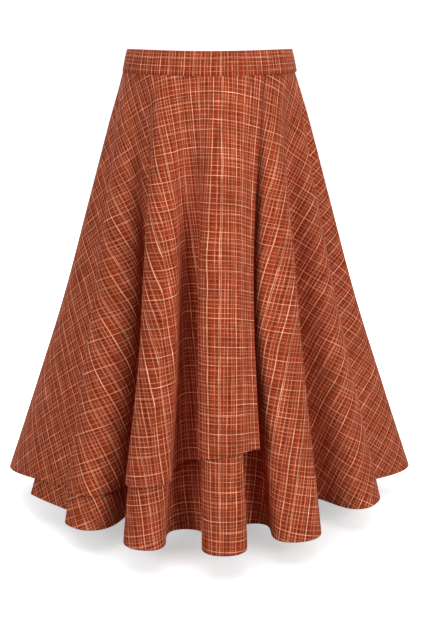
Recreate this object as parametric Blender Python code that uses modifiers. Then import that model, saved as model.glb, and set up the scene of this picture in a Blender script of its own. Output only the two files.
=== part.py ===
"""Midi wrap skirt in plaid cloth, filled out as if worn, in five sewn pieces.

Metres, +Z up. The front faces -Y. The origin is the middle of the waist seam's
oval, where the waistband meets the panels, and the hem hangs below it. Every
panel is a ruled sheet: each ruling leaves the waist seam, which is a smooth
oval, and runs straight down to the hem, which is thrown into folds.
"""

import math

import bmesh
import bpy
from mathutils import Vector

# Waistband, from the seam oval up to its slightly smaller top edge.
SEAM_HALF_WIDTH = 0.1358
SEAM_HALF_DEPTH = 0.1030
TOP_HALF_WIDTH = 0.1285
TOP_HALF_DEPTH = 0.0970
BAND_HEIGHT = 0.0337
BAND_WALL = 0.0030
BAND_LEAN = 0.0007          # the leaning wall's inner edge reaches this far below its outer one
SEAM_DIP = 0.0040           # the seam is this much lower at centre front and back
TOP_DIP_FRONT = 0.0024
TOP_DIP_BACK = 0.0042

# Panels.
DROP = 0.674                # waist seam to hem, straight down
CLOTH_WALL = 0.0015
SEAM_GAP = 0.0003           # between pieces that are sewn together
SIDE_TRIM = 0.0006          # each outer face stops this far from a side seam
LAYER_RISE_WAIST = 0.0021   # over front above the under front, outer face to outer face
LAYER_RISE_HEM = 0.0050
SECTOR = 202.0              # the whole flat cut, front and back, is this much of a circle, degrees

# How far out a ruling has moved at a share of its drop: a little hip, then a flare.
FLARE = (
    # drop share, outward share
    (0.00, 0.000),
    (0.10, 0.104),
    (0.30, 0.283),
    (0.55, 0.510),
    (0.80, 0.778),
    (1.00, 1.000),
)

# The folds open faster than the flare between the seam and the hem. They are
# measured from the oval that the hem would follow without them.
FOLD_OPENING = 0.20
FOLDS_FORMED = 0.50         # share of the drop where the folds have their full shape
PLAIN_HEM_HALF_WIDTH = 0.345
PLAIN_HEM_HALF_DEPTH = 0.290

# Fold lines from the viewer's left side seam across the front and round the back.
# Crests and troughs take turns. Seam degrees are where the line leaves the waist
# seam, counted round the flat cut. Azimuth 0 is centre front, 90 the viewer's right.
# Tuck is how far the cloth beyond the line doubles back under itself, lean is how
# far that cloth keeps towards the next line, and sway is how many degrees the line
# swings sideways half way down.
FOLD_LINES = (
    # name, seam degrees, azimuth, hem radius, tuck, lean, sway
    ("left side crest", -50.5, -91.0, 0.351, 0.00, 0.00, 0.0),
    ("left flank trough", -47.8, -50.0, 0.290, 1.60, 0.00, 0.0),
    ("left crest", -43.6, -38.8, 0.321, 1.30, 0.25, 0.0),
    ("left inner trough", -29.0, -29.5, 0.212, 1.60, 0.00, 4.5),
    ("left centre crest", -18.0, -18.0, 0.334, 1.60, 0.00, 4.5),
    ("centre left trough", -10.0, -7.6, 0.252, 1.40, 0.00, 0.0),
    ("centre crest", 5.3, 4.0, 0.337, 1.50, 0.00, 0.0),
    ("centre right trough", 15.4, 15.5, 0.240, 1.60, -0.15, -5.0),
    ("right centre crest", 27.6, 26.5, 0.324, 0.90, -0.12, -3.0),
    ("right inner trough", 38.0, 47.0, 0.200, 1.30, -0.10, 2.0),
    ("right crest", 46.2, 57.0, 0.311, 1.60, 0.15, 5.0),
    ("right flank trough", 48.6, 70.0, 0.262, 0.00, 0.00, 4.0),
    ("right side crest", 50.5, 91.0, 0.351, 0.40, 0.00, 0.0),
    ("back right flank trough", 57.4, 109.0, 0.268, 0.70, 0.00, 0.0),
    ("back right crest", 64.9, 122.0, 0.320, 1.10, 0.00, 0.0),
    ("back right inner trough", 72.8, 134.0, 0.246, 1.00, 0.00, 0.0),
    ("back right centre crest", 80.3, 147.0, 0.332, 1.00, 0.00, 0.0),
    ("back centre right trough", 89.3, 161.0, 0.254, 0.90, 0.00, 0.0),
    ("back centre crest", 97.8, 174.0, 0.336, 1.20, 0.00, 0.0),
    ("back centre left trough", 106.3, 186.0, 0.238, 1.10, 0.00, 0.0),
    ("back left centre crest", 114.8, 199.0, 0.326, 0.90, 0.00, 0.0),
    ("back left inner trough", 122.8, 214.0, 0.244, 1.10, 0.00, 0.0),
    ("back left crest", 130.8, 227.0, 0.326, 1.20, 0.00, 0.0),
    ("back left flank trough", 141.4, 246.0, 0.262, 0.50, 0.00, 0.0),
    ("back left side crest", 151.5, 269.0, 0.351, 0.00, 0.00, 0.0),
)
RIGHT_SIDE = 12             # rows of the table where the panels are sewn together
LEFT_SIDE_AGAIN = 24
UNDER_FREE_EDGE = 4.0 / 7.0  # the under front starts this share of the way along the flank

# The over front shares the first folds, then hangs straight to its free edge.
OVER_SHARED_LINES = 6
OVER_END_LINES = (
    ("centre crest", 5.3, 4.0, 0.338, 0.00, 0.00, 0.0),
    ("free edge", 23.3, 12.8, 0.318, 0.00, 0.00, 0.0),
)
OVER_EDGE_BOW = 0.015       # the free edge bows in towards the centre by this much
OVER_HEM = (
    # place in fold lines, share of the full drop
    (0.0, 1.000),
    (0.6, 0.960),
    (2.0, 0.930),
    (4.0, 0.872),
    (5.0, 0.850),
    (6.0, 0.800),
    (7.0, 0.797),
)

NORMAL_STEP = 0.02          # share of a fold, and of the drop, between points compared for a direction
COLUMNS_PER_FOLD = 7        # grid columns from each crest to the next trough
PANEL_ROWS = 9
BAND_COLUMNS = 30

PLAID_RUST = (0.43, 0.075, 0.03)
MATERIALS = (
    # node, roughness, lightness against the plaid's rust
    ("waistband_front", 0.86, 1.00),
    ("waistband_back", 0.86, 0.96),
    ("over_front", 0.88, 1.00),
    ("under_front", 0.88, 0.94),
    ("back", 0.88, 0.97),
)


def blend(a, b, share):
    return a + (b - a) * share


def smooth_step(share):
    share = min(max(share, 0.0), 1.0)
    return share * share * (3.0 - 2.0 * share)


def oval(half_width, half_depth, azimuth):
    """Point of an oval in plan, at an azimuth from centre front."""
    return Vector((half_width * math.sin(azimuth), -half_depth * math.cos(azimuth), 0.0))


def oval_azimuths(steps=360):
    """Azimuths of the seam oval at equal lengths round it, from centre front to back."""
    azimuths = [math.pi * i / steps for i in range(steps + 1)]
    lengths = [0.0]
    for a, b in zip(azimuths, azimuths[1:]):
        chord = oval(SEAM_HALF_WIDTH, SEAM_HALF_DEPTH, b) - oval(SEAM_HALF_WIDTH, SEAM_HALF_DEPTH, a)
        lengths.append(lengths[-1] + chord.length)
    table = []
    at = 0
    for i in range(steps + 1):
        wanted = lengths[-1] * i / steps
        while at < steps - 1 and lengths[at + 1] < wanted:
            at += 1
        share = (wanted - lengths[at]) / (lengths[at + 1] - lengths[at])
        table.append(blend(azimuths[at], azimuths[at + 1], share))
    return table


SEAM_AZIMUTHS = oval_azimuths()


def seam_azimuth(cut_degrees):
    """Azimuth on the seam oval of a place on the flat cut, both 0 at centre front."""
    turns, within = divmod(cut_degrees, SECTOR)
    share = within / (0.5 * SECTOR)
    mirrored = share > 1.0
    if mirrored:
        share = 2.0 - share
    at = share * (len(SEAM_AZIMUTHS) - 1)
    low = min(int(at), len(SEAM_AZIMUTHS) - 2)
    azimuth = blend(SEAM_AZIMUTHS[low], SEAM_AZIMUTHS[low + 1], at - low)
    if mirrored:
        azimuth = 2.0 * math.pi - azimuth
    return azimuth + turns * 2.0 * math.pi


def curve_through(table, x):
    """Smooth curve through a table of (x, y) rows."""
    for i in range(len(table) - 1):
        if x <= table[i + 1][0]:
            break
    x0, y0 = table[i]
    x1, y1 = table[i + 1]
    before = table[max(i - 1, 0)]
    after = table[min(i + 2, len(table) - 1)]
    slope0 = (y1 - before[1]) / (x1 - before[0]) * (x1 - x0)
    slope1 = (after[1] - y0) / (after[0] - x0) * (x1 - x0)
    s = (x - x0) / (x1 - x0)
    return (
        (2 * s**3 - 3 * s**2 + 1) * y0
        + (s**3 - 2 * s**2 + s) * slope0
        + (3 * s**2 - 2 * s**3) * y1
        + (s**3 - s**2) * slope1
    )


def plain_radius(azimuth, outward):
    """Radius of the section that the sheet would have without folds."""
    half_width = blend(SEAM_HALF_WIDTH, PLAIN_HEM_HALF_WIDTH, outward)
    half_depth = blend(SEAM_HALF_DEPTH, PLAIN_HEM_HALF_DEPTH, outward)
    return 1.0 / math.hypot(math.sin(azimuth) / half_width, math.cos(azimuth) / half_depth)


def fold_line_at(line, drop_share):
    """Azimuth of a fold line, and how far it stands out from the plain section."""
    _, seam_degrees, azimuth, radius, _, _, sway = line
    top_azimuth = seam_azimuth(seam_degrees)
    hem_azimuth = math.radians(azimuth)
    outward = curve_through(FLARE, drop_share)
    opening = FOLD_OPENING * (4.0 * outward * (1.0 - outward)) ** 2
    opening *= 1.0 - plain_radius(hem_azimuth, 1.0) / radius
    point = oval(SEAM_HALF_WIDTH, SEAM_HALF_DEPTH, top_azimuth) * (1.0 - outward)
    point += oval(radius, radius, hem_azimuth) * (outward + opening)
    nearby = blend(top_azimuth, hem_azimuth, outward)
    turned = math.atan2(point.x, -point.y) - nearby
    line_azimuth = nearby + math.remainder(turned, 2.0 * math.pi)
    line_azimuth += math.radians(sway) * math.sin(math.pi * min(drop_share, 1.0)) ** 2
    return line_azimuth, point.length - plain_radius(line_azimuth, outward)


def ruling_point(lines, place, drop_share):
    """Point of the folded sheet, before it is moved out to its own layer."""
    row = min(max(int(place), 0), len(lines) - 2)
    share = place - row
    azimuth0, rise0 = fold_line_at(lines[row], drop_share)
    azimuth1, rise1 = fold_line_at(lines[row + 1], drop_share)
    formed = smooth_step(drop_share / FOLDS_FORMED)
    tuck, lean = lines[row][4] * formed, lines[row][5] * formed
    sideways = share + tuck * math.sin(2.0 * math.pi * share) / (2.0 * math.pi)
    sideways += lean * math.sin(math.pi * share) ** 2
    azimuth = blend(azimuth0, azimuth1, sideways)
    outward = curve_through(FLARE, drop_share)
    rise = blend(rise0, rise1, 0.5 - 0.5 * math.cos(math.pi * share))
    radius = plain_radius(azimuth, outward) + rise
    point = oval(radius, radius, azimuth)
    top_azimuth = seam_azimuth(blend(lines[row][1], lines[row + 1][1], share))
    seam_low = -SEAM_DIP * math.cos(top_azimuth) ** 2 - SEAM_GAP
    point.z = blend(seam_low, -DROP, drop_share)
    return point


def across_sheet(lines, place, drop_share):
    """Level direction along the sheet, towards the next fold line."""
    ahead = ruling_point(lines, place + NORMAL_STEP, drop_share)
    return (ahead - ruling_point(lines, place - NORMAL_STEP, drop_share)).normalized()


def outward_normal(lines, place, drop_share):
    """Outward direction of the sheet at a place on it."""
    higher = max(drop_share - NORMAL_STEP, 0.0)
    lower = min(drop_share + NORMAL_STEP, 1.0)
    up = ruling_point(lines, place, higher) - ruling_point(lines, place, lower)
    return across_sheet(lines, place, drop_share).cross(up).normalized()


def make_material(name, roughness, lightness):
    material = bpy.data.materials.new(name + "_cloth")
    material.use_nodes = True
    shader = material.node_tree.nodes["Principled BSDF"]
    colour = tuple(channel * lightness for channel in PLAID_RUST) + (1.0,)
    shader.inputs["Base Color"].default_value = colour
    shader.inputs["Roughness"].default_value = roughness
    shader.inputs["Metallic"].default_value = 0.0
    material.diffuse_color = colour
    return material


def sheet_object(name, columns, rows, point_at, wall, collection, materials):
    """Wall of cloth whose outer face is a grid moved by point_at(across, down), both 0 to 1."""
    mesh = bpy.data.meshes.new(name)
    sheet = bmesh.new()
    bmesh.ops.create_grid(sheet, x_segments=columns, y_segments=rows, size=0.5)
    for vertex in sheet.verts:
        vertex.co = point_at(vertex.co.x + 0.5, 0.5 - vertex.co.y)
    sheet.to_mesh(mesh)
    sheet.free()
    mesh.shade_smooth()
    piece = bpy.data.objects.new(name, mesh)
    collection.objects.link(piece)
    solidify = piece.modifiers.new("cloth wall", "SOLIDIFY")
    solidify.thickness = wall
    solidify.offset = -1.0
    mesh.materials.append(materials[name])
    return piece


def seam_trim(lines, place, drop_share, across):
    """Step back from a side seam, for the two end columns of a panel."""
    if across == 0.0:
        return SIDE_TRIM * across_sheet(lines, place, drop_share)
    if across == 1.0:
        return -SIDE_TRIM * across_sheet(lines, place, drop_share)
    return Vector()


def plain_panel(start, end):
    """Points of a panel that lies on the folded sheet itself."""

    def point_at(across, down):
        place = blend(start, end, across)
        return ruling_point(FOLD_LINES, place, down) + seam_trim(FOLD_LINES, place, down, across)

    return point_at


def over_panel():
    """Points of the over front: the same sheet moved out, with a shorter hem."""
    lines = FOLD_LINES[:OVER_SHARED_LINES] + OVER_END_LINES
    end = len(lines) - 1

    def point_at(across, down):
        place = end * across
        drop_share = down * curve_through(OVER_HEM, place)
        rise = blend(LAYER_RISE_WAIST, LAYER_RISE_HEM, math.sqrt(drop_share))
        rise *= smooth_step(place / UNDER_FREE_EDGE)
        sample = min(place, end - NORMAL_STEP)
        moved_out = rise * outward_normal(lines, sample, drop_share)
        point = ruling_point(lines, place, drop_share) + moved_out
        near_edge = smooth_step(place - OVER_SHARED_LINES)
        bow = OVER_EDGE_BOW * near_edge * math.sin(math.pi * down)
        point -= bow * across_sheet(lines, sample, drop_share)
        return point + seam_trim(lines, sample, drop_share, across)

    return point_at


def band_half(first_azimuth, last_azimuth):
    """Points of one half of the waistband, from its top edge down to the seam."""
    side_gap = SIDE_TRIM / SEAM_HALF_DEPTH

    def point_at(across, down):
        azimuth = blend(first_azimuth + side_gap, last_azimuth - side_gap, across)
        facing = math.cos(azimuth)
        top = oval(TOP_HALF_WIDTH, TOP_HALF_DEPTH, azimuth)
        top_dip = TOP_DIP_FRONT if facing > 0.0 else TOP_DIP_BACK
        top.z = BAND_HEIGHT - top_dip * facing**2
        seam = oval(SEAM_HALF_WIDTH, SEAM_HALF_DEPTH, azimuth)
        outward = Vector((seam.x, seam.y, 0.0)).normalized()
        seam += outward * (LAYER_RISE_WAIST - SEAM_GAP)
        top += outward * (LAYER_RISE_WAIST - SEAM_GAP)
        seam.z = BAND_LEAN - SEAM_DIP * facing**2
        return top.lerp(seam, down)

    return point_at


def main():
    for old in list(bpy.data.objects):
        bpy.data.objects.remove(old, do_unlink=True)
    collection = bpy.data.collections.new("wrap_skirt")
    bpy.context.scene.collection.children.link(collection)
    materials = {row[0]: make_material(*row) for row in MATERIALS}

    quarter = math.pi / 2.0
    sheet_object("waistband_front", BAND_COLUMNS, 2, band_half(-quarter, quarter),
                 BAND_WALL, collection, materials)
    sheet_object("waistband_back", BAND_COLUMNS, 2, band_half(quarter, 3.0 * quarter),
                 BAND_WALL, collection, materials)

    over_folds = OVER_SHARED_LINES + len(OVER_END_LINES) - 1
    sheet_object("over_front", over_folds * COLUMNS_PER_FOLD, PANEL_ROWS, over_panel(),
                 CLOTH_WALL, collection, materials)
    under = plain_panel(UNDER_FREE_EDGE, RIGHT_SIDE)
    under_columns = round((RIGHT_SIDE - UNDER_FREE_EDGE) * COLUMNS_PER_FOLD)
    sheet_object("under_front", under_columns, PANEL_ROWS, under,
                 CLOTH_WALL, collection, materials)
    back = plain_panel(RIGHT_SIDE, LEFT_SIDE_AGAIN)
    sheet_object("back", (LEFT_SIDE_AGAIN - RIGHT_SIDE) * COLUMNS_PER_FOLD, PANEL_ROWS, back,
                 CLOTH_WALL, collection, materials)


main()
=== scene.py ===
import functools
import math

import bmesh
import bpy
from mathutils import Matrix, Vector


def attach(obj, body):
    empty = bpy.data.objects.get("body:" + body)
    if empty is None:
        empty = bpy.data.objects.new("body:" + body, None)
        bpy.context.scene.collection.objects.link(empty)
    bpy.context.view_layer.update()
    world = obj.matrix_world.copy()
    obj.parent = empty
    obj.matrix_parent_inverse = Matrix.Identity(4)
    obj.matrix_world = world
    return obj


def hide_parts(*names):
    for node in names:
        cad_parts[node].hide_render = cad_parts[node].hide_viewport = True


# Plaid wrap skirt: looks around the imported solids. Metres, +Z up, the front faces -Y.
# Each panel is one sheet on its solid's form. Its UV is the flat cut in metres, so the
# plaid runs through the folds as it does on cloth cut from a roll.

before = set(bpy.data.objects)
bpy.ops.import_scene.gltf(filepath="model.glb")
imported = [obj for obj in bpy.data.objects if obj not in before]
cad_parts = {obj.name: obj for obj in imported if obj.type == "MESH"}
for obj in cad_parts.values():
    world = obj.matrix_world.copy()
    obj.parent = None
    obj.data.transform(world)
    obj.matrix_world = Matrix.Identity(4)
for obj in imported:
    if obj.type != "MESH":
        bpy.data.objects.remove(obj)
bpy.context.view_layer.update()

# The form that all pieces share.
form = {
    "seamHalfWidth": 0.1358,      # waist seam, an oval
    "seamHalfDepth": 0.1030,
    "seamDip": 0.0040,            # lower at centre front and back
    "drop": 0.674,                # waist seam to hem
    "seamGap": 0.0003,
    "sector": 202.0,              # the whole flat cut, degrees of a circle
    "foldOpening": 0.20,          # folds open faster than the flare on the way down
    "plainHemHalfWidth": 0.345,
    "plainHemHalfDepth": 0.290,
    "cutSeamRadius": 0.2139,      # the circle cut, flat
    "cutHemRadius": 0.911,
    "foldsFormed": 0.50,          # share of the drop where the folds have their full shape
    "wall": 0.0011,               # one layer of cloth
}

# How far out a ruling has moved at a share of its drop: a little hip, then a flare.
flare = (
    # drop share, outward share
    (0.00, 0.000),
    (0.10, 0.104),
    (0.30, 0.283),
    (0.55, 0.510),
    (0.80, 0.778),
    (1.00, 1.000),
)

# Fold lines from the viewer's left side seam across the front and round the back.
foldLines = (
    # name, seam degrees, hem degrees (both on the flat cut), azimuth, hem radius, tuck, lean, sway
    ("left side crest", -50.5, -50.5, -91.0, 0.351, 0.00, 0.00, 0.0),
    ("left flank trough", -47.8, -36.0, -50.0, 0.290, 1.60, 0.00, 0.0),
    ("left crest", -43.6, -30.5, -38.8, 0.321, 1.30, 0.25, 0.0),
    ("left inner trough", -29.0, -23.0, -29.5, 0.212, 1.60, 0.00, 4.5),
    ("left centre crest", -18.0, -14.0, -18.0, 0.334, 1.60, 0.00, 4.5),
    ("centre left trough", -10.0, -6.5, -7.6, 0.252, 1.40, 0.00, 0.0),
    ("centre crest", 5.3, 1.8, 4.0, 0.337, 1.50, 0.00, 0.0),
    ("centre right trough", 15.4, 9.6, 15.5, 0.240, 1.60, -0.15, -5.0),
    ("right centre crest", 27.6, 16.6, 26.5, 0.324, 0.90, -0.12, -3.0),
    ("right inner trough", 38.0, 28.0, 47.0, 0.200, 1.30, -0.10, 2.0),
    ("right crest", 46.2, 35.6, 57.0, 0.311, 1.60, 0.15, 5.0),
    ("right flank trough", 48.6, 41.8, 70.0, 0.262, 0.00, 0.00, 4.0),
    ("right side crest", 50.5, 50.5, 91.0, 0.351, 0.40, 0.00, 0.0),
    ("back right flank trough", 57.4, 59.6, 109.0, 0.268, 0.70, 0.00, 0.0),
    ("back right crest", 64.9, 65.8, 122.0, 0.320, 1.10, 0.00, 0.0),
    ("back right inner trough", 72.8, 73.2, 134.0, 0.246, 1.00, 0.00, 0.0),
    ("back right centre crest", 80.3, 81.4, 147.0, 0.332, 1.00, 0.00, 0.0),
    ("back centre right trough", 89.3, 89.5, 161.0, 0.254, 0.90, 0.00, 0.0),
    ("back centre crest", 97.8, 97.5, 174.0, 0.336, 1.20, 0.00, 0.0),
    ("back centre left trough", 106.3, 106.4, 186.0, 0.238, 1.10, 0.00, 0.0),
    ("back left centre crest", 114.8, 114.8, 199.0, 0.326, 0.90, 0.00, 0.0),
    ("back left inner trough", 122.8, 123.2, 214.0, 0.244, 1.10, 0.00, 0.0),
    ("back left crest", 130.8, 131.4, 227.0, 0.326, 1.20, 0.00, 0.0),
    ("back left flank trough", 141.4, 140.6, 246.0, 0.262, 0.50, 0.00, 0.0),
    ("back left side crest", 151.5, 151.5, 269.0, 0.351, 0.00, 0.00, 0.0),
)
rightSide = 12                    # rows where the panels are sewn together
leftSideAgain = 24
normalStep = 0.02                 # share of a fold, and of the drop, between points compared


def blend(a, b, share):
    return a + (b - a) * share


def smoothStep(share):
    share = min(max(share, 0.0), 1.0)
    return share * share * (3.0 - 2.0 * share)


def oval(halfWidth, halfDepth, azimuth):
    return Vector((halfWidth * math.sin(azimuth), -halfDepth * math.cos(azimuth), 0.0))


def ovalAzimuths(steps=360):
    # azimuths at equal lengths round the seam oval, from centre front to centre back
    azimuths = [math.pi * i / steps for i in range(steps + 1)]
    lengths = [0.0]
    for a, b in zip(azimuths, azimuths[1:]):
        chord = oval(form["seamHalfWidth"], form["seamHalfDepth"], b)
        chord -= oval(form["seamHalfWidth"], form["seamHalfDepth"], a)
        lengths.append(lengths[-1] + chord.length)
    table = []
    at = 0
    for i in range(steps + 1):
        wanted = lengths[-1] * i / steps
        while at < steps - 1 and lengths[at + 1] < wanted:
            at += 1
        share = (wanted - lengths[at]) / (lengths[at + 1] - lengths[at])
        table.append(blend(azimuths[at], azimuths[at + 1], share))
    return table


seamAzimuths = ovalAzimuths()


def seamAzimuth(cutDegrees):
    turns, within = divmod(cutDegrees, form["sector"])
    share = within / (0.5 * form["sector"])
    mirrored = share > 1.0
    if mirrored:
        share = 2.0 - share
    at = share * (len(seamAzimuths) - 1)
    low = min(int(at), len(seamAzimuths) - 2)
    azimuth = blend(seamAzimuths[low], seamAzimuths[low + 1], at - low)
    if mirrored:
        azimuth = 2.0 * math.pi - azimuth
    return azimuth + turns * 2.0 * math.pi


def curveThrough(table, x):
    # smooth curve through rows of (x, y)
    for i in range(len(table) - 1):
        if x <= table[i + 1][0]:
            break
    x0, y0 = table[i]
    x1, y1 = table[i + 1]
    before = table[max(i - 1, 0)]
    after = table[min(i + 2, len(table) - 1)]
    slope0 = (y1 - before[1]) / (x1 - before[0]) * (x1 - x0)
    slope1 = (after[1] - y0) / (after[0] - x0) * (x1 - x0)
    s = (x - x0) / (x1 - x0)
    return (
        (2 * s**3 - 3 * s**2 + 1) * y0
        + (s**3 - 2 * s**2 + s) * slope0
        + (3 * s**2 - 2 * s**3) * y1
        + (s**3 - s**2) * slope1
    )


def plainRadius(azimuth, outward):
    # the section that a sheet without folds would have
    halfWidth = blend(form["seamHalfWidth"], form["plainHemHalfWidth"], outward)
    halfDepth = blend(form["seamHalfDepth"], form["plainHemHalfDepth"], outward)
    return 1.0 / math.hypot(math.sin(azimuth) / halfWidth, math.cos(azimuth) / halfDepth)


@functools.lru_cache(maxsize=None)
def foldLineAt(line, dropShare):
    # azimuth of a fold line, and how far it stands out from the plain section
    _, seamDegrees, _, azimuth, radius, _, _, sway = line
    topAzimuth = seamAzimuth(seamDegrees)
    hemAzimuth = math.radians(azimuth)
    outward = curveThrough(flare, dropShare)
    opening = form["foldOpening"] * (4.0 * outward * (1.0 - outward)) ** 2
    opening *= 1.0 - plainRadius(hemAzimuth, 1.0) / radius
    point = oval(form["seamHalfWidth"], form["seamHalfDepth"], topAzimuth) * (1.0 - outward)
    point += oval(radius, radius, hemAzimuth) * (outward + opening)
    nearby = blend(topAzimuth, hemAzimuth, outward)
    turned = math.atan2(point.x, -point.y) - nearby
    lineAzimuth = nearby + math.remainder(turned, 2.0 * math.pi)
    lineAzimuth += math.radians(sway) * math.sin(math.pi * min(dropShare, 1.0)) ** 2
    return lineAzimuth, point.length - plainRadius(lineAzimuth, outward)


def seamDegreesAt(lines, place):
    row = min(max(int(place), 0), len(lines) - 2)
    return blend(lines[row][1], lines[row + 1][1], place - row)


def rulingPoint(lines, place, dropShare):
    # point of the folded sheet before it is moved out to its own layer
    row = min(max(int(place), 0), len(lines) - 2)
    share = place - row
    azimuth0, rise0 = foldLineAt(lines[row], dropShare)
    azimuth1, rise1 = foldLineAt(lines[row + 1], dropShare)
    formed = smoothStep(dropShare / form["foldsFormed"])
    tuck, lean = lines[row][5] * formed, lines[row][6] * formed
    sideways = share + tuck * math.sin(2.0 * math.pi * share) / (2.0 * math.pi)
    sideways += lean * math.sin(math.pi * share) ** 2
    azimuth = blend(azimuth0, azimuth1, sideways)
    outward = curveThrough(flare, dropShare)
    radius = plainRadius(azimuth, outward) + blend(rise0, rise1, 0.5 - 0.5 * math.cos(math.pi * share))
    point = oval(radius, radius, azimuth)
    topAzimuth = seamAzimuth(seamDegreesAt(lines, place))
    seamLow = -form["seamDip"] * math.cos(topAzimuth) ** 2 - form["seamGap"]
    point.z = blend(seamLow, -form["drop"], dropShare)
    return point


def acrossSheet(lines, place, dropShare):
    ahead = rulingPoint(lines, place + normalStep, dropShare)
    return (ahead - rulingPoint(lines, place - normalStep, dropShare)).normalized()


def outwardNormal(lines, place, dropShare):
    higher = max(dropShare - normalStep, 0.0)
    lower = min(dropShare + normalStep, 1.0)
    up = rulingPoint(lines, place, higher) - rulingPoint(lines, place, lower)
    return acrossSheet(lines, place, dropShare).cross(up).normalized()


def hemDegreesTable(lines, stepsPerFold=40):
    # degrees round the flat cut along the hem: true length inside a fold, the table at its ends
    degrees = []
    for row in range(len(lines) - 1):
        shares = [min(row + i / stepsPerFold, row + 0.99999) for i in range(stepsPerFold + 1)]
        points = [rulingPoint(lines, place, 1.0) for place in shares]
        lengths = [0.0]
        for a, b in zip(points, points[1:]):
            lengths.append(lengths[-1] + (b - a).length)
        for length in lengths[:-1]:
            degrees.append(blend(lines[row][2], lines[row + 1][2], length / lengths[-1]))
    degrees.append(lines[-1][2])
    return degrees, stepsPerFold


def flatPoint(lines, hemDegrees, place, dropShare):
    # place on the flat cut, metres: x across the warp, y along it, the circle's centre at 0, 0
    table, stepsPerFold = hemDegrees
    at = min(max(place * stepsPerFold, 0.0), len(table) - 1.001)
    low = int(at)
    hemAngle = math.radians(blend(table[low], table[low + 1], at - low))
    seamAngle = math.radians(seamDegreesAt(lines, place))
    seam = form["cutSeamRadius"] * Vector((math.sin(seamAngle), -math.cos(seamAngle)))
    hem = form["cutHemRadius"] * Vector((math.sin(hemAngle), -math.cos(hemAngle)))
    return seam.lerp(hem, dropShare)


edges = {
    "rounding": 0.0011,           # turned edges are round
    "hemTurning": 0.0065,         # stitched this far above the hem
    "waistRoll": 0.0035,          # the panels roll into the waist seam over this length
    "waistRollDepth": 0.0012,
    "sideRoll": 0.0030,           # and into the side seams
    "sideRollDepth": 0.0008,
    "tuckedUp": 0.0010,           # cloth goes this far up inside the waistband
    "foldWidthWaist": 0.018,      # about how wide a fold is, for lengths measured across it
    "foldWidthHem": 0.075,
    "hemSlant": 1.06,             # length down the cloth for each metre of drop
    "closeColumns": (0.0, 0.006, 0.015, 0.035, 0.08),    # beside each side edge, in folds
    "closeRowsWaist": (0.0, 0.0012, 0.0028, 0.0055),     # shares of the panel's length
    "closeRowsHem": (0.0, 0.0004, 0.0010, 0.0018, 0.0040, 0.0085, 0.0095),
}


def shares(count, nearStart, nearEnd):
    # even shares from 0 to 1, with closer ones at each end
    low, high = 1.5 * nearStart[-1], 1.0 - 1.5 * nearEnd[-1]
    even = [i / count for i in range(1, count) if low < i / count < high]
    return [*nearStart, *even, *(1.0 - share for share in reversed(nearEnd))]


def sheetPiece(name, columnShares, rowShares, pointAt, flatAt, wall, edgesAt=None):
    # A grid moved by pointAt(across, down), then given its wall. Its UV "cut" is the flat cut,
    # and its UV "edges" is metres from the nearest side edge and metres above the hem.
    columns, rows = len(columnShares) - 1, len(rowShares) - 1
    mesh = bpy.data.meshes.new(name)
    sheet = bmesh.new()
    bmesh.ops.create_grid(sheet, x_segments=columns, y_segments=rows, size=0.5)
    cut = sheet.loops.layers.uv.new("cut")
    edge = sheet.loops.layers.uv.new("edges")
    weights = sheet.verts.layers.deform.verify()
    flat, fromEdges = {}, {}
    for vertex in sheet.verts:
        across = columnShares[round((vertex.co.x + 0.5) * columns)]
        down = rowShares[round((0.5 - vertex.co.y) * rows)]
        vertex.co = pointAt(across, down)
        flat[vertex] = flatAt(across, down)
        fromEdges[vertex] = edgesAt(across, down) if edgesAt else Vector((1.0, 1.0))
        turned = min(fromEdges[vertex]) < edges["hemTurning"]
        vertex[weights][0] = 1.0 if turned else 0.5
    for face in sheet.faces:
        face.smooth = True
        for loop in face.loops:
            loop[cut].uv = flat[loop.vert]
            loop[edge].uv = fromEdges[loop.vert]
    sheet.to_mesh(mesh)
    sheet.free()
    piece = bpy.data.objects.new(name, mesh)
    bpy.context.scene.collection.objects.link(piece)
    piece.vertex_groups.new(name="layers")
    solidify = piece.modifiers.new("cloth wall", "SOLIDIFY")
    solidify.thickness = 2.0 * wall
    solidify.vertex_group = "layers"
    solidify.offset = -1.0
    solidify.use_even_offset = False
    return piece


def rounded(distance, radius):
    # how far a rounded edge has turned in at a distance from it
    if distance >= radius:
        return 0.0
    return radius - math.sqrt(radius * radius - (radius - distance) ** 2)


def creaseRise(creases, place, down):
    # soft troughs and ridges that run down the cloth
    rise = 0.0
    for at, top, bottom, sway, halfWidth, depth in creases:
        if top < down < bottom:
            along = (down - top) / (bottom - top)
            off = (place - at - sway * along) / halfWidth
            if abs(off) < 3.0:
                rise += depth * math.sin(math.pi * along) ** 1.5 * math.exp(-off * off)
    return rise


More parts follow.
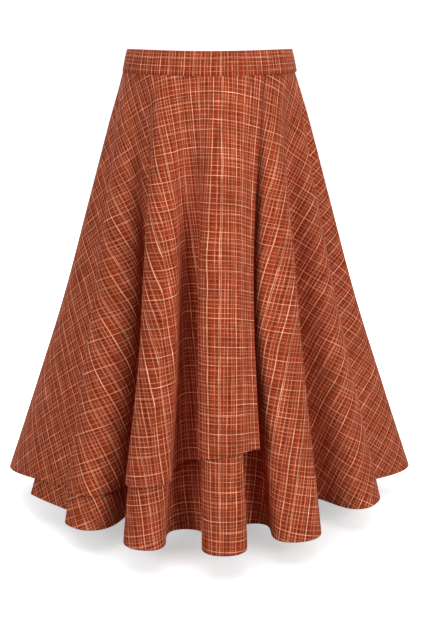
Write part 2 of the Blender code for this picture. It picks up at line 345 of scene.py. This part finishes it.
def panelPiece(name, settings, lines, start, end, hemShare, riseAt, freeEnds):
    hemDegrees = hemDegreesTable(lines)
    last = len(lines) - 1 - normalStep
    first = normalStep

    def edgeDistances(across, down):
        place = blend(start, end, across)
        dropShare = down * hemShare(place)
        width = blend(edges["foldWidthWaist"], edges["foldWidthHem"], dropShare)
        fromHem = (1.0 - down) * hemShare(place) * form["drop"] * edges["hemSlant"]
        return (place - start) * width, (end - place) * width, fromHem

    def pointAt(across, down):
        place = blend(start, end, across)
        dropShare = down * hemShare(place)
        sample = min(max(place, first), last)
        fromStart, fromEnd, fromHem = edgeDistances(across, down)
        inward = rounded(fromHem, edges["rounding"])
        for distance, free in ((fromStart, freeEnds[0]), (fromEnd, freeEnds[1])):
            if free:
                inward += rounded(distance, edges["rounding"])
            else:
                inward += edges["sideRollDepth"] * max(1.0 - distance / edges["sideRoll"], 0.0) ** 2
        fromWaist = dropShare * form["drop"]
        inward += edges["waistRollDepth"] * max(1.0 - fromWaist / edges["waistRoll"], 0.0) ** 2
        move = riseAt(place, dropShare) + creaseRise(settings["creases"], place, dropShare) - inward
        point = rulingPoint(lines, place, dropShare) + move * outwardNormal(lines, sample, dropShare)
        bow = settings["edgeBow"] * smoothStep(place - (end - 1.0))
        if bow:
            point -= bow * math.sin(math.pi * down) * acrossSheet(lines, sample, dropShare)
        point.z += edges["tuckedUp"] * max(1.0 - fromWaist / edges["waistRoll"], 0.0)
        return point

    def flatAt(across, down):
        place = blend(start, end, across)
        return flatPoint(lines, hemDegrees, place, down * hemShare(place))

    def edgesAt(across, down):
        fromStart, fromEnd, fromHem = edgeDistances(across, down)
        freeSide = min(fromStart if freeEnds[0] else 1.0, fromEnd if freeEnds[1] else 1.0)
        return Vector((freeSide, fromHem))

    folds = end - start
    sides = [share / folds for share in edges["closeColumns"]]
    columnShares = shares(round(folds * settings["columnsPerFold"]), sides, sides)
    rowShares = shares(settings["rows"], edges["closeRowsWaist"], edges["closeRowsHem"])
    return sheetPiece(name, columnShares, rowShares, pointAt, flatAt, form["wall"], edgesAt)


# Creases: place in fold lines, from and to in drop shares, sideways drift, half width, rise.
underFront = {
    "freeEdge": 4.0 / 7.0,        # starts this share of the way along the left flank
    "columnsPerFold": 20,
    "rows": 104,
    "edgeBow": 0.0,
    "creases": (
        (8.15, 0.02, 0.16, 0.10, 0.14, -0.0012),
        (8.62, 0.01, 0.30, -0.10, 0.12, 0.0014),
        (9.30, 0.02, 0.22, 0.12, 0.16, -0.0016),
        (9.85, 0.30, 0.72, -0.15, 0.13, 0.0016),
        (10.40, 0.01, 0.26, 0.10, 0.15, -0.0013),
        (11.30, 0.12, 0.55, 0.10, 0.14, -0.0022),
        (11.62, 0.45, 0.93, 0.08, 0.10, 0.0020),
        (8.05, 0.42, 0.88, 0.12, 0.10, -0.0013),
    ),
}
backPanel = {
    "columnsPerFold": 20,
    "rows": 104,
    "edgeBow": 0.0,
    "creases": (
        (12.45, 0.02, 0.30, 0.10, 0.14, -0.0015),
        (13.60, 0.01, 0.20, -0.10, 0.13, 0.0013),
        (14.20, 0.35, 0.80, 0.12, 0.12, -0.0018),
        (15.40, 0.02, 0.34, 0.08, 0.15, -0.0016),
        (16.10, 0.50, 0.93, -0.12, 0.11, 0.0016),
        (17.30, 0.01, 0.18, 0.10, 0.13, 0.0012),
        (18.05, 0.28, 0.66, 0.10, 0.12, -0.0015),
        (19.55, 0.02, 0.27, -0.08, 0.14, -0.0014),
        (20.30, 0.44, 0.90, 0.12, 0.12, 0.0018),
        (21.50, 0.01, 0.24, 0.10, 0.15, -0.0013),
        (22.20, 0.20, 0.62, -0.10, 0.12, 0.0015),
        (23.40, 0.03, 0.38, 0.10, 0.14, -0.0019),
    ),
}
overFront = {
    "sharedLines": 6,
    "endLines": (
        ("centre crest", 5.3, 1.8, 4.0, 0.338, 0.00, 0.00, 0.0),
        ("free edge", 23.3, 5.5, 12.8, 0.318, 0.00, 0.00, 0.0),
    ),
    "riseWaist": 0.0021,          # above the under front, outer face to outer face
    "riseHem": 0.0050,
    "columnsPerFold": 28,
    "rows": 112,
    "edgeBow": 0.015,             # the free edge bows in towards the centre
    "creases": (
        (0.48, 0.10, 0.52, 0.10, 0.12, -0.0022),
        (0.70, 0.46, 0.92, 0.06, 0.09, 0.0019),
        (1.60, 0.02, 0.24, 0.10, 0.16, -0.0014),
        (2.35, 0.01, 0.20, -0.08, 0.13, 0.0013),
        (2.55, 0.34, 0.78, 0.10, 0.10, -0.0015),
        (3.30, 0.02, 0.17, 0.10, 0.15, -0.0013),
        (4.20, 0.40, 0.84, 0.10, 0.12, 0.0013),
        (4.55, 0.01, 0.26, -0.06, 0.14, -0.0012),
        (5.45, 0.01, 0.18, 0.06, 0.12, 0.0010),
        (6.15, 0.02, 0.38, 0.05, 0.08, -0.0009),
        (6.42, 0.20, 0.72, -0.04, 0.07, 0.0008),
    ),
}
# The under front falls back a little in a groove beside the over front's free edge.
edgeHollow = {
    "depth": 0.0062,
    "halfWidth": 0.062,           # in fold lines
    # drop share, place in fold lines
    "places": ((0.0, 7.69), (0.05, 7.56), (0.10, 7.43), (0.16, 7.29), (0.26, 7.16)),
}
overHem = (
    # place in fold lines, share of the full drop
    (0.0, 1.000),
    (0.6, 0.960),
    (2.0, 0.930),
    (4.0, 0.872),
    (5.0, 0.850),
    (6.0, 0.800),
    (7.0, 0.797),
)
overLines = foldLines[:overFront["sharedLines"]] + overFront["endLines"]


def overRise(place, dropShare):
    rise = blend(overFront["riseWaist"], overFront["riseHem"], math.sqrt(dropShare))
    return rise * smoothStep(place / underFront["freeEdge"])


def underRise(place, dropShare):
    beside = (place - curveThrough(edgeHollow["places"], dropShare)) / edgeHollow["halfWidth"]
    along = smoothStep(dropShare / 0.03) * (1.0 - smoothStep((dropShare - 0.12) / 0.14))
    return -edgeHollow["depth"] * along * math.exp(-beside * beside)


def wholeDrop(place):
    return 1.0


def noRise(place, dropShare):
    return 0.0


print("panels")
overSheet = panelPiece("over_front_cloth", overFront, overLines, 0, len(overLines) - 1,
                       lambda place: curveThrough(overHem, place), overRise, (False, True))
underSheet = panelPiece("under_front_cloth", underFront, foldLines, underFront["freeEdge"], rightSide,
                        wholeDrop, underRise, (True, False))
backSheet = panelPiece("back_cloth", backPanel, foldLines, rightSide, leftSideAgain,
                       wholeDrop, noRise, (False, False))


print("waistband")
waistband = {
    "topHalfWidth": 0.1285,
    "topHalfDepth": 0.0970,
    "height": 0.0337,
    "lean": 0.0007,
    "topDipFront": 0.0024,        # the top edge is this much lower at the middle
    "topDipBack": 0.0042,
    "outward": 0.0018,            # stands out from the seam oval, over both front layers
    "thickness": 0.0030,
    "sideGap": 0.0002,
    "length": 0.754,              # the strip, seam to seam and back
    "fullness": 0.0004,
    "edgeRound": 0.0009,
    "stitchRow": 0.0020,          # above the lower edge
    "columns": 150,
}


def bandHalf(name, firstAzimuth, lastAzimuth):
    # one strip folded in half over its top edge: outer wall, fold, inner wall
    sideGap = waistband["sideGap"] / form["seamHalfDepth"]
    inner = waistband["thickness"] - form["wall"]
    wallShares = (0.0, 0.012, 0.035, 0.07, 0.12, 0.22, 0.34, 0.46, 0.58, 0.70, 0.82, 0.91, 1.0)
    foldShares = [i / 8.0 for i in range(1, 8)]
    stops = [(0, share) for share in wallShares] + [(1, share) for share in foldShares]
    stops += [(2, share) for share in wallShares]
    girth = 0.5 * waistband["length"]

    def wallEdges(azimuth):
        facing = math.cos(azimuth)
        top = oval(waistband["topHalfWidth"], waistband["topHalfDepth"], azimuth)
        topDip = waistband["topDipFront"] if facing > 0.0 else waistband["topDipBack"]
        top.z = waistband["height"] - topDip * facing**2
        seam = oval(form["seamHalfWidth"], form["seamHalfDepth"], azimuth)
        outward = Vector((seam.x, seam.y, 0.0)).normalized()
        seam.z = waistband["lean"] - form["seamDip"] * facing**2
        return top + outward * waistband["outward"], seam + outward * waistband["outward"], outward

    def pointAt(across, down):
        azimuth = blend(firstAzimuth + sideGap, lastAzimuth - sideGap, across)
        top, seam, outward = wallEdges(azimuth)
        part, share = stops[round(down * (len(stops) - 1))]
        radius = 0.5 * inner
        crown = top - Vector((0.0, 0.0, radius))
        if part == 0:
            height = share * (top - seam).length
            bulge = waistband["fullness"] * math.sin(math.pi * share)
            bulge -= rounded(height, waistband["edgeRound"])
            return seam.lerp(crown, share) + outward * bulge
        if part == 1:
            turn = math.pi * share
            rise = Vector((0.0, 0.0, radius * math.sin(turn)))
            return crown - outward * radius * (1.0 - math.cos(turn)) + rise
        return (crown - outward * inner).lerp(seam - outward * inner, share)

    def flatAt(across, down):
        part, share = stops[round(down * (len(stops) - 1))]
        strip = (share, 1.0 + 0.06 * share, 1.06 + share)[part] * waistband["height"]
        along = blend(firstAzimuth, lastAzimuth, across) / math.pi * girth
        return Vector((along, strip - waistband["height"]))

    columnShares = [i / waistband["columns"] for i in range(waistband["columns"] + 1)]
    rowShares = [i / (len(stops) - 1) for i in range(len(stops))]
    return sheetPiece(name, columnShares, rowShares, pointAt, flatAt, form["wall"])


quarter = math.pi / 2.0
frontBand = bandHalf("waistband_front_cloth", -quarter, quarter)
backBand = bandHalf("waistband_back_cloth", quarter, 3.0 * quarter)


print("materials")
plaid = {
    "ground": (0.400, 0.046, 0.0120),      # rust
    "light": (0.84, 0.295, 0.150),         # salmon yarn
    "bright": (0.98, 0.64, 0.41),          # cream, where light yarn lies on top
    "brown": (0.150, 0.017, 0.0055),       # dark yarn
    "warpRepeat": 0.036,
    "warpStart": 0.006,                    # the strongest warp line, from centre front
    "weftRepeat": 0.0418,
    "weftStart": -0.2365,
    "threadPitch": 0.0009,
    "waver": 0.004,                        # how far the lines wander
    "waverScale": 14.0,
    "slub": (900.0, 45.0),                 # noise scale across and along a yarn
    "broadSlub": (320.0, 14.0),
    "stitchPitch": 0.0032,
    "stitchLength": 0.72,                  # share of the pitch
    "stitchHalfWidth": 0.0003,
    "stitchInset": 0.0008,                 # from the turning's inner edge
}
# One repeat each way: place and width in millimetres, and how strong the yarn shows.
warpLight = (
    (0.0, 1.0, 0.84), (8.0, 0.8, 0.44), (12.4, 0.9, 0.66), (14.1, 0.8, 0.52), (18.0, 0.8, 0.42),
    (22.4, 0.9, 0.56), (28.2, 0.8, 0.46), (31.8, 0.8, 0.38),
)
warpBrown = ((2.4, 1.2, 0.40), (10.3, 1.2, 0.35), (20.4, 0.9, 0.25), (25.2, 1.6, 0.62), (34.0, 1.2, 0.35))
weftLight = (
    (0.0, 1.0, 0.74), (5.2, 0.8, 0.28), (9.5, 0.8, 0.40), (14.3, 0.8, 0.56), (16.0, 0.8, 0.46),
    (21.4, 0.8, 0.38), (27.0, 0.9, 0.54), (34.6, 0.8, 0.42),
)
weftBrown = ((3.5, 2.0, 0.32), (12.3, 1.0, 0.30), (18.0, 1.0, 0.34), (29.6, 1.1, 0.30))


def mathNode(tree, operation, a, b=None, c=None, clamp=False):
    made = tree.nodes.new("ShaderNodeMath")
    made.operation = operation
    made.use_clamp = clamp
    for i, value in enumerate((a, b, c)):
        if value is None:
            continue
        if isinstance(value, (int, float)):
            made.inputs[i].default_value = value
        else:
            tree.links.new(value, made.inputs[i])
    return made.outputs[0]


def chartRamp(tree, chart, repeat, coordinate):
    # a stripe chart as one ramp over a repeat
    share = mathNode(tree, "FRACT", mathNode(tree, "DIVIDE", coordinate, repeat))
    ramp = tree.nodes.new("ShaderNodeValToRGB")
    ramp.color_ramp.interpolation = "LINEAR"
    stops = []
    for place, width, strength in chart:
        low, high = (place - 0.5 * width) / 1000.0, (place + 0.5 * width) / 1000.0
        soft = 0.25 * (high - low)
        stops += [(low - soft, 0.0), (low + soft, strength), (high - soft, strength), (high + soft, 0.0)]
    wrapped = sorted((place / repeat % 1.0, value) for place, value in stops)
    elements = ramp.color_ramp.elements
    while len(elements) > 1:
        elements.remove(elements[-1])
    elements[0].position, value = wrapped[0]
    elements[0].color = (value, value, value, 1.0)
    for place, value in wrapped[1:]:
        element = elements.new(place)
        element.color = (value, value, value, 1.0)
    tree.links.new(share, ramp.inputs["Fac"])
    return ramp.outputs["Color"]


def mixColour(tree, factor, a, b, blendType="MIX"):
    made = tree.nodes.new("ShaderNodeMix")
    made.data_type = "RGBA"
    made.blend_type = blendType
    for socket, value in ((made.inputs["Factor"], factor), (made.inputs["A"], a), (made.inputs["B"], b)):
        if isinstance(value, (int, float)):
            made.inputs[0].default_value = value
        elif isinstance(value, tuple):
            socket.default_value = value + (1.0,)
        else:
            tree.links.new(value, socket)
    return made.outputs["Result"]


def streaks(tree, coordinates, scaleX, scaleY, detail=2.0):
    stretch = tree.nodes.new("ShaderNodeMapping")
    stretch.vector_type = "POINT"
    stretch.inputs["Scale"].default_value = (scaleX, scaleY, 1.0)
    tree.links.new(coordinates, stretch.inputs["Vector"])
    grain = tree.nodes.new("ShaderNodeTexNoise")
    grain.noise_dimensions = "2D"
    grain.inputs["Scale"].default_value = 1.0
    grain.inputs["Detail"].default_value = detail
    tree.links.new(stretch.outputs["Vector"], grain.inputs["Vector"])
    return grain.outputs["Fac"]


def plaidGroup():
    tree = bpy.data.node_groups.new("plaid cloth", "ShaderNodeTree")
    for label, direction, kind in (
        ("Cut", "INPUT", "NodeSocketVector"),
        ("Stitch", "INPUT", "NodeSocketFloat"),
        ("Colour", "OUTPUT", "NodeSocketColor"),
        ("Height", "OUTPUT", "NodeSocketFloat"),
        ("Roughness", "OUTPUT", "NodeSocketFloat"),
    ):
        tree.interface.new_socket(label, in_out=direction, socket_type=kind)
    source = tree.nodes.new("NodeGroupInput")
    result = tree.nodes.new("NodeGroupOutput")
    cut = source.outputs["Cut"]
    split = tree.nodes.new("ShaderNodeSeparateXYZ")
    tree.links.new(cut, split.inputs["Vector"])

    # lines waver a little, as beaten and steamed cloth does
    waver = tree.nodes.new("ShaderNodeTexNoise")
    waver.inputs["Scale"].default_value = plaid["waverScale"]
    waver.inputs["Detail"].default_value = 1.0
    tree.links.new(cut, waver.inputs["Vector"])
    wave = tree.nodes.new("ShaderNodeSeparateColor")
    tree.links.new(waver.outputs["Color"], wave.inputs["Color"])

    def wavered(shift, position):
        centred = mathNode(tree, "SUBTRACT", shift, 0.5)
        return mathNode(tree, "MULTIPLY_ADD", centred, plaid["waver"], position)

    across = wavered(wave.outputs[0], split.outputs["X"])
    along = wavered(wave.outputs[1], split.outputs["Y"])
    warpAt = mathNode(tree, "SUBTRACT", across, plaid["warpStart"])
    weftAt = mathNode(tree, "SUBTRACT", plaid["weftStart"], along)

    lightWarp = chartRamp(tree, warpLight, plaid["warpRepeat"], warpAt)
    brownWarp = chartRamp(tree, warpBrown, plaid["warpRepeat"], warpAt)
    lightWeft = chartRamp(tree, weftLight, plaid["weftRepeat"], weftAt)
    brownWeft = chartRamp(tree, weftBrown, plaid["weftRepeat"], weftAt)

    # slubs: each yarn is lighter and darker along its own length
    warpSlub = streaks(tree, cut, *plaid["slub"])
    weftSlub = streaks(tree, cut, *reversed(plaid["slub"]))
    broadWarp = streaks(tree, cut, *plaid["broadSlub"], detail=1.0)
    broadWeft = streaks(tree, cut, *reversed(plaid["broadSlub"]), detail=1.0)

    def uneven(mask, slub, broad):
        gain = mathNode(tree, "MULTIPLY_ADD", slub, 1.1, 0.40)
        gain = mathNode(tree, "MULTIPLY", gain, mathNode(tree, "MULTIPLY_ADD", broad, 0.8, 0.58))
        return mathNode(tree, "MULTIPLY", mask, gain, clamp=True)

    colour = mixColour(tree, brownWarp, plaid["ground"], plaid["brown"])
    colour = mixColour(tree, brownWeft, colour, plaid["brown"])
    for mask in (uneven(lightWarp, warpSlub, broadWarp), uneven(lightWeft, weftSlub, broadWeft)):
        colour = mixColour(tree, mask, colour, plaid["light"])
        colour = mixColour(tree, mathNode(tree, "MULTIPLY", mask, mask), colour, plaid["bright"])

    # heather between the charted lines
    warpHeather = mathNode(tree, "MULTIPLY", warpSlub, broadWarp)
    weftHeather = mathNode(tree, "MULTIPLY", weftSlub, broadWeft)
    heather = mathNode(tree, "ADD", warpHeather, weftHeather)
    heatherGain = mathNode(tree, "MULTIPLY_ADD", heather, 1.5, 0.28)
    gain = tree.nodes.new("ShaderNodeCombineXYZ")
    for i in range(3):
        tree.links.new(heatherGain, gain.inputs[i])
    colour = mixColour(tree, 1.0, colour, gain.outputs[0], "MULTIPLY")

    # a row of stitches: shorter than its pitch, darker and pulled in
    stitches = mathNode(tree, "DIVIDE", mathNode(tree, "ADD", across, along), plaid["stitchPitch"])
    dash = mathNode(tree, "LESS_THAN", mathNode(tree, "FRACT", stitches), plaid["stitchLength"])
    sewn = mathNode(tree, "MULTIPLY", source.outputs["Stitch"], dash)
    colour = mixColour(tree, mathNode(tree, "MULTIPLY", sewn, 0.55), colour, plaid["brown"])

    # plain weave
    turn = 2.0 * math.pi / (2.0 * plaid["threadPitch"])
    over = mathNode(tree, "SINE", mathNode(tree, "MULTIPLY", across, turn))
    under = mathNode(tree, "SINE", mathNode(tree, "MULTIPLY", along, turn))
    weave = mathNode(tree, "MULTIPLY", over, under)
    height = mathNode(tree, "MULTIPLY_ADD", weave, 0.5, mathNode(tree, "MULTIPLY", heather, 1.2))
    height = mathNode(tree, "SUBTRACT", height, mathNode(tree, "MULTIPLY", sewn, 2.0))
    roughness = mathNode(tree, "MULTIPLY_ADD", heather, -0.12, 0.92)
    tree.links.new(colour, result.inputs["Colour"])
    tree.links.new(height, result.inputs["Height"])
    tree.links.new(roughness, result.inputs["Roughness"])
    return tree


plaidCloth = plaidGroup()


def splitUV(tree, layer):
    uv = tree.nodes.new("ShaderNodeUVMap")
    uv.uv_map = layer
    split = tree.nodes.new("ShaderNodeSeparateXYZ")
    tree.links.new(uv.outputs["UV"], split.inputs["Vector"])
    return split.outputs["X"], split.outputs["Y"]


def edgeRow(tree):
    # the turning of a hem or a free edge, stitched along its inner side
    nearest = mathNode(tree, "MINIMUM", *splitUV(tree, "edges"))
    row = edges["hemTurning"] - plaid["stitchInset"]
    return mathNode(tree, "COMPARE", nearest, row, plaid["stitchHalfWidth"])


def bandRow(tree):
    # one row just above the waistband's lower edge
    _, up = splitUV(tree, "cut")
    row = waistband["stitchRow"] - waistband["height"]
    return mathNode(tree, "COMPARE", up, row, plaid["stitchHalfWidth"])


def clothMaterial(name, stitchRow, offset=(0.0, 0.0, 0.0)):
    material = bpy.data.materials.new(name)
    material.use_nodes = True
    tree = material.node_tree
    shader = tree.nodes["Principled BSDF"]
    shader.inputs["Specular IOR Level"].default_value = 0.10
    shader.inputs["Sheen Weight"].default_value = 0.03
    shader.inputs["Sheen Roughness"].default_value = 0.5
    shader.inputs["Sheen Tint"].default_value = (1.0, 0.60, 0.42, 1.0)
    cut = tree.nodes.new("ShaderNodeUVMap")
    cut.uv_map = "cut"
    place = tree.nodes.new("ShaderNodeMapping")
    place.inputs["Location"].default_value = offset
    cloth = tree.nodes.new("ShaderNodeGroup")
    cloth.node_tree = plaidCloth
    bump = tree.nodes.new("ShaderNodeBump")
    bump.inputs["Strength"].default_value = 0.35
    bump.inputs["Distance"].default_value = 0.0004
    tree.links.new(cut.outputs["UV"], place.inputs["Vector"])
    tree.links.new(place.outputs["Vector"], cloth.inputs["Cut"])
    tree.links.new(stitchRow(tree), cloth.inputs["Stitch"])
    tree.links.new(cloth.outputs["Colour"], shader.inputs["Base Color"])
    tree.links.new(cloth.outputs["Roughness"], shader.inputs["Roughness"])
    tree.links.new(cloth.outputs["Height"], bump.inputs["Height"])
    tree.links.new(bump.outputs["Normal"], shader.inputs["Normal"])
    return material


skirtCloth = clothMaterial("skirt plaid", edgeRow)
bandCloth = clothMaterial("waistband plaid", bandRow, offset=(0.004, 0.0072, 0.0))

pieces = (
    # piece, node, material, slot, flat cut in metres, its cloth in square metres
    (overSheet, "over_front", skirtCloth, "skirt_cloth", (0.86, 0.72), 0.34),
    (underSheet, "under_front", skirtCloth, "skirt_cloth", (1.31, 0.77), 0.636),
    (backSheet, "back", skirtCloth, "skirt_cloth", (1.41, 0.775), 0.691),
    (frontBand, "waistband_front", bandCloth, "waistband_cloth", (0.377, 0.071), None),
    (backBand, "waistband_back", bandCloth, "waistband_cloth", (0.377, 0.071), None),
)
for piece, nodeName, material, slotName, flat, area in pieces:
    piece.data.materials.append(material)
    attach(piece, "root")
    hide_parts(nodeName)


print("studio")
studio = {
    "floor": -0.715,
    "floorColour": (0.93, 0.93, 0.93),
    "cameraPlace": (0.0014, -1.70, 0.05),
    "cameraDown": 14.9,           # degrees
    "lens": 59.3,
    "paperPaintedLight": (0.44, 0.97),    # painted light: the paper glows this much under the skirt, and from this far away
    "paintedLightReach": (0.25, 0.60),
    "paintedLightSpread": (1.35, 1.0, 0.0),    # painted light: the paper glows more to the sides, which lightens the cast shadow there
    "sweep": (14.0, -5.0, 3.2, 1.6, 5.0),    # width, front, back, bend, wall height
    "air": 0.03,
    "aim": (0.0, 0.0, -0.38),
    "softboxes": (
        # name, azimuth, height angle, distance, width, height, watts
        ("left softbox", -44.0, 15.0, 2.4, 0.9, 1.1, 20.3),
        ("right softbox", 43.0, 15.0, 2.4, 0.9, 1.1, 31.0),
        ("front softbox", 6.0, 28.0, 3.0, 1.0, 1.0, 1.5),
        ("overhead softbox", 0.0, 76.0, 2.3, 1.7, 1.7, 19.0),
        ("back left softbox", -150.0, 40.0, 3.0, 1.4, 1.4, 33.0),
        ("back right softbox", 150.0, 40.0, 3.0, 1.4, 1.4, 33.0),
    ),
}


def sweep():
    # floor that curves up into the backdrop
    mesh = bpy.data.meshes.new("studio_sweep")
    sheet = bmesh.new()
    bmesh.ops.create_grid(sheet, x_segments=2, y_segments=60, size=0.5)
    width, front, back, bend, wallTop = studio["sweep"]
    arc = 0.5 * math.pi * bend
    total = (back - front) + arc + wallTop
    for vertex in sheet.verts:
        run = (vertex.co.y + 0.5) * total
        x = vertex.co.x * width
        if run < back - front:
            vertex.co = (x, front + run, studio["floor"])
        elif run < back - front + arc:
            turn = (run - (back - front)) / bend
            vertex.co = (x, back + bend * math.sin(turn), studio["floor"] + bend * (1 - math.cos(turn)))
        else:
            vertex.co = (x, back + bend, studio["floor"] + bend + run - (back - front) - arc)
    for face in sheet.faces:
        face.smooth = True
    sheet.to_mesh(mesh)
    sheet.free()
    floor = bpy.data.objects.new("studio_sweep", mesh)
    bpy.context.scene.collection.objects.link(floor)
    paper = bpy.data.materials.new("studio paper")
    paper.use_nodes = True
    shader = paper.node_tree.nodes["Principled BSDF"]
    shader.inputs["Base Color"].default_value = studio["floorColour"] + (1.0,)
    shader.inputs["Roughness"].default_value = 0.9
    shader.inputs["Specular IOR Level"].default_value = 0.1
    # painted light: the paper glows white though it is no lamp, weaker under the skirt so its cast shadow
    # shows, stronger far off and to the sides where it lightens that shadow
    shader.inputs["Emission Color"].default_value = (1.0, 1.0, 1.0, 1.0)
    place = paper.node_tree.nodes.new("ShaderNodeTexCoord")
    away = paper.node_tree.nodes.new("ShaderNodeVectorMath")
    away.operation = "LENGTH"
    lift = paper.node_tree.nodes.new("ShaderNodeVectorMath")
    lift.operation = "MULTIPLY"
    lift.inputs[1].default_value = studio["paintedLightSpread"]
    glow = paper.node_tree.nodes.new("ShaderNodeMapRange")
    glow.interpolation_type = "SMOOTHSTEP"
    glow.inputs["From Min"].default_value, glow.inputs["From Max"].default_value = studio["paintedLightReach"]
    glow.inputs["To Min"].default_value, glow.inputs["To Max"].default_value = studio["paperPaintedLight"]
    paper.node_tree.links.new(place.outputs["Object"], lift.inputs[0])
    paper.node_tree.links.new(lift.outputs["Vector"], away.inputs[0])
    paper.node_tree.links.new(away.outputs["Value"], glow.inputs["Value"])
    paper.node_tree.links.new(glow.outputs["Result"], shader.inputs["Emission Strength"])
    mesh.materials.append(paper)
    floor.visible_diffuse = False    # so that it doesn't fill the folds from below


def softbox(name, azimuth, heightAngle, distance, width, height, power):
    light = bpy.data.lights.new(name, "AREA")
    light.shape = "RECTANGLE"
    light.size = width
    light.size_y = height
    light.energy = power
    turn, lift = math.radians(azimuth), math.radians(heightAngle)
    aim = Vector(studio["aim"])
    away = Vector((math.sin(turn) * math.cos(lift), -math.cos(turn) * math.cos(lift), math.sin(lift)))
    lamp = bpy.data.objects.new(name, light)
    lamp.location = aim + distance * away
    lamp.rotation_euler = (-away).to_track_quat("-Z", "Y").to_euler()
    bpy.context.scene.collection.objects.link(lamp)


sweep()
for box in studio["softboxes"]:
    softbox(*box)

world = bpy.data.worlds.new("studio air")
world.use_nodes = True
air = world.node_tree.nodes["Background"]
air.inputs["Color"].default_value = (1.0, 1.0, 1.0, 1.0)
path = world.node_tree.nodes.new("ShaderNodeLightPath")
seen = mathNode(world.node_tree, "MAXIMUM", path.outputs["Is Camera Ray"], studio["air"])
world.node_tree.links.new(seen, air.inputs["Strength"])    # white beyond the sweep
bpy.context.scene.world = world

camera = bpy.data.cameras.new("camera")
camera.lens = studio["lens"]
camera.sensor_width = 36.0
viewer = bpy.data.objects.new("camera", camera)
viewer.location = studio["cameraPlace"]
viewer.rotation_euler = (math.radians(90.0 - studio["cameraDown"]), 0.0, 0.0)
bpy.context.scene.collection.objects.link(viewer)
bpy.context.scene.camera = viewer
bpy.context.scene.view_settings.view_transform = "Standard"
